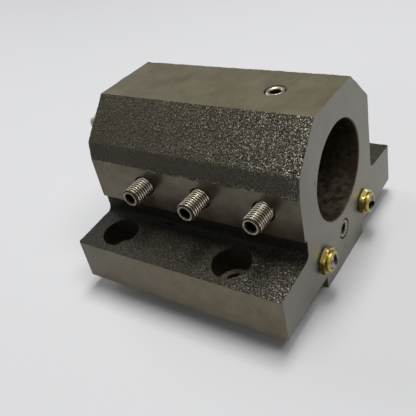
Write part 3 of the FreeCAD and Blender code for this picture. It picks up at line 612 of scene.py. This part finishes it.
def make_casting():
    """The block's own faces, with the cast ones cut fine and given their relief."""
    bm = bmesh.new()
    bm.from_mesh(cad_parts["holder_body"].data)
    bm.transform(Matrix.Scale(1 / MM, 4))
    bmesh.ops.remove_doubles(bm, verts=bm.verts, dist=2e-3)
    bmesh.ops.dissolve_limit(bm, angle_limit=math.radians(0.2), verts=bm.verts, edges=bm.edges)
    bm.normal_update()
    for face in bm.faces:
        face.material_index = paint_of(face.calc_center_median(), face.normal)
        if is_cast(face.calc_center_median(), face.normal):
            face.material_index = SKIN
    slope_up = math.sqrt(0.5)
    for side, cell in ((-1, NEAR_CELL), (1, FAR_CELL)):
        skin = [face for face in bm.faces
                if face.material_index == SKIN and face.calc_center_median().y * side > 0]
        skin = sliced(bm, skin, spread(-LENGTH, 0.0, cell), Vector((1, 0, 0)))
        level = [face for face in skin if face.normal.z > 0.85]
        slope = [face for face in skin if 0.5 < face.normal.z <= 0.85]
        steep = [face for face in skin if face.normal.z <= 0.5]
        sliced(bm, level, spread(-FLANGE_HALF, FLANGE_HALF, cell), Vector((0, 1, 0)))
        up_slope = Vector((0, -side * slope_up, slope_up))
        sliced(bm, slope, spread(-FLANGE_HALF, FLANGE_HALF, cell), up_slope)
        sliced(bm, steep, spread(-28.0, TOP, cell), Vector((0, 0, 1)))
    bm.normal_update()

    moves = {}
    for vert in bm.verts:
        cast = [face for face in vert.link_faces if face.material_index == SKIN]
        if not cast:
            continue
        away = Vector((0, 0, 0))
        for face in cast:
            away += face.normal * face.calc_area()
        away.normalize()
        height = relief(vert.co)
        held = []
        for face in vert.link_faces:
            if face.material_index != SKIN and all(face.normal.dot(other) < 0.99 for other in held):
                held.append(face.normal.copy())
        along = away.copy()
        for normal in held:
            along -= normal * along.dot(normal)
        if held and along.length < 0.3:
            continue
        if held:
            wander = 0.45 * noise.noise(Vector((vert.co.x / 5.0, vert.co.y / 5.0, 5.0)))
            height = (height + wander * 0.6) / along.length
        moves[vert] = along.normalized() * height if held else away * height
    for vert, move in moves.items():
        vert.co += move
        vert.co.x = min(0.0, max(-LENGTH, vert.co.x))
        vert.co.y = min(FLANGE_HALF, max(-FLANGE_HALF, vert.co.y))
        vert.co.z = min(TOP, vert.co.z)
    bm.normal_update()

    for edge in bm.edges:
        slots = {face.material_index for face in edge.link_faces}
        if slots == {SKIN}:
            edge.smooth = True
        else:
            edge.smooth = len(slots) == 1 and edge.calc_face_angle(0.0) < math.radians(30)
    for face in bm.faces:
        face.smooth = True
    bm.transform(Matrix.Scale(MM, 4))
    mesh = bpy.data.meshes.new("holder_casting")
    bm.to_mesh(mesh)
    bm.free()
    paints = [CAST, MILLED_TOP, END, MILLED_SIDE, PAD_STEEL, WALL_OF_BORE, HOLE, SEAT]
    return add_piece("holder_casting", mesh, "holder_body", "holder", paints)


# Screws and plugs
def thread(lathe, radius, pitch, bottom, top, low_bevel, high_bevel, steps=8):
    """Helical thread from bottom to top, running out in a bevel at both ends."""
    depth = 0.6 * pitch
    count = round((top - bottom) / pitch * steps)
    for index in range(count + 1):
        height = bottom + (top - bottom) * index / count
        phase = height / pitch - lathe.turn / (2 * math.pi)
        valley = (0.5 - 0.5 * np.cos(2 * math.pi * phase)) ** 0.8
        cut = max(0.0, low_bevel - (height - bottom), high_bevel - (top - height))
        lathe.ring(np.minimum(radius - depth * valley, radius - cut), height)


def hex_socket(lathe, flats, depth, mouth, outer, face=CREST, flare=0.32):
    """Face ring, countersunk mouth, hexagon walls and drill point."""
    corner = flats / math.sqrt(3)
    lathe.ring(outer, mouth, face)
    lathe.ring(corner + flare, mouth, face)
    lathe.ring(corner + 0.12, mouth + 0.20 - flare)
    walls = lathe.hexagon(flats)
    lathe.ring(walls, mouth - 0.06 - flare, HEX_WALL)
    lathe.ring(walls, mouth - depth, HEX_WALL)
    lathe.ring(0.12, mouth - depth - corner * 0.45, HEX_WALL)


def darken_roots(mesh, axis_point, axis, limit):
    """Give the thread's valley faces their own material."""
    centre = Vector(axis_point) * MM
    for face in mesh.polygons:
        offset = face.center - centre
        away = (offset - axis * offset.dot(axis)).length
        if away < limit * MM and face.material_index == CREST and abs(face.normal.dot(axis)) < 0.9:
            face.material_index = VALLEY


def make_clamp_screw(name, number):
    along = -CLAMP_FIRST - number * CLAMP_PITCH
    out = CLAMP_OUT + (MIDDLE_OUT if number == 1 else 0.0)
    lathe = Lathe(48)
    lathe.ring(0.4, -24.9)
    lathe.ring(3.4, -25.0)
    thread(lathe, 5.0, 1.5, -24.9, -0.75, 1.5, 0.25)
    lathe.ring(4.72, -0.62)
    lathe.ring(4.18, -0.10)
    lathe.ring(4.02, -0.01)
    hex_socket(lathe, 5.0, 5.0, 0.0, 3.95, face=OUTER_END)
    matrix = at(along, -out, 0) @ TO_LEFT @ Matrix.Rotation(math.radians(12 + 37 * number), 4, "Z")
    mesh = lathe.mesh(name, matrix, 50.0)
    darken_roots(mesh, (along, 0, 0), Vector((0, 1, 0)), 4.62)
    node = f"clamp_screw_{name.split('_')[0]}"
    return add_piece(name, mesh, node, node, [SCREW, ROOT, SOCKET, SCREW_END])


def make_plug(name, node, position, turn, spin):
    """Flush hexagon socket plug of a gallery."""
    lathe = Lathe(48)
    lathe.ring(2.0, -8.0)
    lathe.ring(4.2, -7.95)
    thread(lathe, 5.0, 1.5, -7.9, -0.35, 0.6, 0.45, steps=6)
    lathe.ring(4.62, -0.28)
    lathe.ring(4.5, -0.08)
    hex_socket(lathe, 5.0, 4.5, 0.0, 4.34, flare=0.75)
    matrix = at(*position) @ turn @ Matrix.Rotation(math.radians(spin), 4, "Z")
    mesh = lathe.mesh(name, matrix, 45.0)
    return add_piece(name, mesh, node, "holder", [PLUG, ROOT, SOCKET])


def make_cap_screw(name, node, side, up, spin):
    """Cover screw with a knurled head."""
    lathe = Lathe(144)
    out = COVER_CIRCLE / 2 * math.sqrt(0.5)
    lathe.ring(1.4, -12.0)
    lathe.ring(2.1, -11.95)
    thread(lathe, 2.5, 0.8, -11.6, -0.4, 0.4, 0.3, steps=5)
    lathe.ring(2.45, -0.1)
    lathe.ring(2.5, 0.01)
    lathe.ring(4.1, 0.01)
    lathe.ring(4.22, 0.15)
    knurl = 4.25 - 0.11 * (0.5 + 0.5 * np.cos(lathe.turn * 36))
    lathe.ring(knurl, 0.35)
    lathe.ring(knurl, 4.1)
    lathe.ring(4.18, 4.35)
    lathe.ring(4.10, 4.70)
    lathe.ring(3.95, 4.92)
    hex_socket(lathe, 4.0, 2.5, 5.0, 3.75)
    place = at(-LENGTH - COVER_FACE, side * out, up * out)
    matrix = place @ TO_REAR @ Matrix.Rotation(math.radians(spin), 4, "Z")
    mesh = lathe.mesh(name, matrix, 45.0)
    return add_piece(name, mesh, node, "holder", [CAP, ROOT, SOCKET])


# Coolant nozzles
def make_nozzle(name, node, across, spin):
    """Brass body: thread, chamfered hexagon, undercut, collar rolled over the ball, socket."""
    lathe = Lathe(96)
    walls = lathe.hexagon(13.0)
    lathe.ring(2.5, -9.0)
    lathe.ring(4.3, -8.98)
    thread(lathe, 5.0, 1.0, -8.9, 0.2, 0.6, 0.4, steps=5)
    lathe.ring(4.6, 0.45)
    lathe.ring(4.6, 0.71)
    lathe.ring(6.45, 0.71)
    chamfers = ((HEX_LOW + 0.02, 7.0), (HEX_LOW + 0.28, 8.0), (HEX_HIGH - 0.36, 8.0), (HEX_HIGH - 0.02, 6.8))
    for height, limit in chamfers:
        lathe.ring(np.minimum(walls, limit), height)
    lathe.ring(6.42, HEX_HIGH)
    lathe.ring(5.30, HEX_HIGH)
    lathe.ring(4.95, HEX_HIGH + 0.12)
    lathe.ring(4.95, HEX_HIGH + 0.30)
    lathe.ring(5.42, HEX_HIGH + 0.32)
    lathe.ring(5.48, LIP - 0.95)
    for step in range(7):
        bend = math.radians(15 * step)
        lathe.ring(4.55 + 0.93 * math.cos(bend), LIP - 0.95 + 0.93 * math.sin(bend))
    lathe.ring(3.95, LIP)
    lathe.ring(3.85, LIP - 0.08)
    for step in range(9):
        reach = math.radians(18 - 18 * step / 8)
        lathe.ring(BALL_CUP * math.cos(reach), BALL_AT + BALL_CUP * math.sin(reach))
    lathe.ring(BALL_CUP, BALL_AT - 3.54)
    lathe.ring(2.5, BALL_AT - 3.54)
    matrix = at(0, across, GALLERY) @ TO_FRONT @ Matrix.Rotation(math.radians(spin), 4, "Z")
    mesh = lathe.mesh(name, matrix, 28.0, loop=True)
    return add_piece(name, mesh, node, "holder", [BRASS])


def make_ball(name, node, body, across, swivel, tilt):
    """Steel ball with its jet hole, countersunk at the front flat."""
    lathe = Lathe(64)
    # The jet hole and its countersink take the socket material: painted shade.
    dark = 1
    lathe.ring(BALL_DRILL, 1.60, dark)
    lathe.ring(2.38, 3.08, dark)
    lathe.ring(2.50, BALL_FLAT)
    front = math.asin(BALL_FLAT / BALL_RADIUS)
    back = -math.asin(math.sqrt(BALL_RADIUS ** 2 - 1.76 ** 2) / BALL_RADIUS)
    for step in range(33):
        lift = front + (back - front) * step / 32
        lathe.ring(BALL_RADIUS * math.cos(lift), BALL_RADIUS * math.sin(lift))
    lathe.ring(BALL_DRILL, -3.50)
    turn = Matrix.Rotation(math.radians(swivel), 4, "X") @ Matrix.Rotation(math.radians(tilt), 4, "Z")
    mesh = lathe.mesh(name, at(BALL_AT, across, GALLERY) @ turn @ TO_FRONT, 35.0, loop=True)
    return add_piece(name, mesh, node, body, [BALL, SOCKET])


def make_washer(name, node, across):
    """Thin ring between the brass hexagon and the front face."""
    lathe = Lathe(64)
    lathe.ring(WASHER_BORE, 0.02)
    for radius, height in ((5.95, 0.0), (6.0, 0.12), (6.0, 0.58), (5.95, HEX_LOW)):
        lathe.ring(radius, height)
    lathe.ring(WASHER_BORE, HEX_LOW - 0.01)
    mesh = lathe.mesh(name, at(0, across, GALLERY) @ TO_FRONT, 60.0, loop=True)
    return add_piece(name, mesh, node, "holder", [WASHER])


make_casting()
for number, row in enumerate(("front", "middle", "rear")):
    make_clamp_screw(f"{row}_clamp_screw", number)
make_plug("socket_plug_top", "top_plug", (-29.0, 0, TOP), Matrix.Identity(4), 8)
make_plug("socket_plug_front", "front_gallery_plug", (0, 0, GALLERY), TO_FRONT, 20)
make_plug("socket_plug_cross", "cross_gallery_plug", (-13.0, FLANGE_HALF, GALLERY), TO_RIGHT, 3)
make_nozzle("brass_nozzle_left", "nozzle_body_left", -NOZZLE_OUT, 0)
make_nozzle("brass_nozzle_right", "nozzle_body_right", NOZZLE_OUT, -11)
make_ball("jet_ball_left", "nozzle_ball_left", "ball_left", -NOZZLE_OUT, 54, 20)
make_ball("jet_ball_right", "nozzle_ball_right", "ball_right", NOZZLE_OUT, 193, 28)
make_washer("sealing_washer_left", "nozzle_washer_left", -NOZZLE_OUT)
make_washer("sealing_washer_right", "nozzle_washer_right", NOZZLE_OUT)
for side, side_name in ((-1, "left"), (1, "right")):
    for up, up_name in ((1, "upper"), (-1, "lower")):
        make_cap_screw(f"cap_screw_{up_name}_{side_name}", f"cover_screw_{up_name}_{side_name}", side, up,
                       17 + 23 * side + 31 * up)

for node, material in (("rear_cover", PLATE), ("rear_cover_seal", SEAL),
                       ("nozzle_seat_left", SEAL), ("nozzle_seat_right", SEAL)):
    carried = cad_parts[node]
    for place in carried.material_slots:
        place.material = material
    if not carried.material_slots:
        carried.data.materials.append(material)


# Stage, lamps and camera
def make_floor():
    """Round pale floor under the tenon."""
    bm = bmesh.new()
    bmesh.ops.create_circle(bm, cap_ends=True, segments=96, radius=1.6)
    mesh = bpy.data.meshes.new("floor")
    bm.to_mesh(mesh)
    bm.free()
    floor = bpy.data.objects.new("floor", mesh)
    floor.location.z = TENON_BOTTOM * MM - 0.0001
    bpy.context.scene.collection.objects.link(floor)
    paint = Paint("pale_floor", roughness=0.7, specular=0.2)
    cloud = paint.spots(60.0, detail=2.0)
    mesh.materials.append(paint.done(paint.mix(cloud, (0.775, 0.778, 0.790), (0.785, 0.788, 0.800))))


def make_world():
    """Pale plain backdrop for the camera, and for metal a room with a bright ceiling and greyer walls."""
    world = bpy.data.worlds.new("studio")
    world.use_nodes = True
    bpy.context.scene.world = world
    tree = world.node_tree
    tree.nodes.clear()
    rays = tree.nodes.new("ShaderNodeLightPath")
    mirrored = tree.nodes.new("ShaderNodeMath")
    mirrored.operation = "MAXIMUM"
    tree.links.new(rays.outputs["Is Glossy Ray"], mirrored.inputs[0])
    tree.links.new(rays.outputs["Is Transmission Ray"], mirrored.inputs[1])
    direction = tree.nodes.new("ShaderNodeSeparateXYZ")
    tree.links.new(tree.nodes.new("ShaderNodeTexCoord").outputs["Generated"], direction.inputs[0])
    lift = tree.nodes.new("ShaderNodeMapRange")
    lift.inputs["From Min"].default_value = 0.05
    lift.inputs["From Max"].default_value = 0.9
    tree.links.new(direction.outputs["Z"], lift.inputs["Value"])
    room = tree.nodes.new("ShaderNodeMix")
    room.data_type = "RGBA"
    room.inputs["A"].default_value = (0.15, 0.155, 0.17, 1.0)
    room.inputs["B"].default_value = (0.85, 0.85, 0.84, 1.0)
    tree.links.new(lift.outputs["Result"], room.inputs["Factor"])
    ambient = tree.nodes.new("ShaderNodeBackground")
    ambient.inputs["Strength"].default_value = 0.14
    shown = tree.nodes.new("ShaderNodeBackground")
    shown.inputs["Strength"].default_value = 1.0
    for background in (ambient, shown):
        tree.links.new(room.outputs["Result"], background.inputs["Color"])
    backdrop = tree.nodes.new("ShaderNodeBackground")
    backdrop.inputs["Color"].default_value = (0.735, 0.742, 0.755, 1.0)
    backdrop.inputs["Strength"].default_value = 1.0
    unseen = tree.nodes.new("ShaderNodeMixShader")
    tree.links.new(mirrored.outputs[0], unseen.inputs[0])
    tree.links.new(ambient.outputs[0], unseen.inputs[1])
    tree.links.new(shown.outputs[0], unseen.inputs[2])
    either = tree.nodes.new("ShaderNodeMixShader")
    tree.links.new(rays.outputs["Is Camera Ray"], either.inputs[0])
    tree.links.new(unseen.outputs[0], either.inputs[1])
    tree.links.new(backdrop.outputs[0], either.inputs[2])
    output = tree.nodes.new("ShaderNodeOutputWorld")
    tree.links.new(either.outputs[0], output.inputs["Surface"])


def make_lamp(name, place, width, depth, power):
    data = bpy.data.lights.new(name, "AREA")
    data.shape = "RECTANGLE"
    data.size = width
    data.size_y = depth
    data.energy = power
    lamp = bpy.data.objects.new(name, data)
    lamp.location = place
    lamp.rotation_mode = "QUATERNION"
    lamp.rotation_quaternion = (Vector((-0.05, 0.0, 0.0)) - Vector(place)).to_track_quat("-Z", "Y")
    bpy.context.scene.collection.objects.link(lamp)


def make_camera():
    data = bpy.data.cameras.new("camera")
    data.sensor_width = 36.0
    data.lens = 50.3021
    data.shift_x = -0.02264
    data.shift_y = -0.04296
    data.clip_start = 0.01
    data.clip_end = 30.0
    camera = bpy.data.objects.new("camera", data)
    camera.location = (0.100441, -0.216166, 0.154626)
    camera.rotation_mode = "QUATERNION"
    camera.rotation_quaternion = (0.855484, 0.428473, 0.208127, 0.203078)
    bpy.context.scene.collection.objects.link(camera)
    bpy.context.scene.camera = camera


make_floor()
make_world()
make_lamp("ceiling_softbox", (-0.09, 0.27, 1.36), 0.40, 0.60, 12.0)
make_lamp("front_softbox", (0.62, 0.05, 1.25), 0.50, 0.50, 4.2)
make_lamp("left_softbox", (-2.25, 0.58, 0.80), 1.30, 1.10, 17.0)
make_lamp("camera_side_softbox", (-0.55, -2.00, 0.75), 0.70, 0.70, 5.0)
make_camera()
bpy.context.scene.view_settings.view_transform = "Standard"
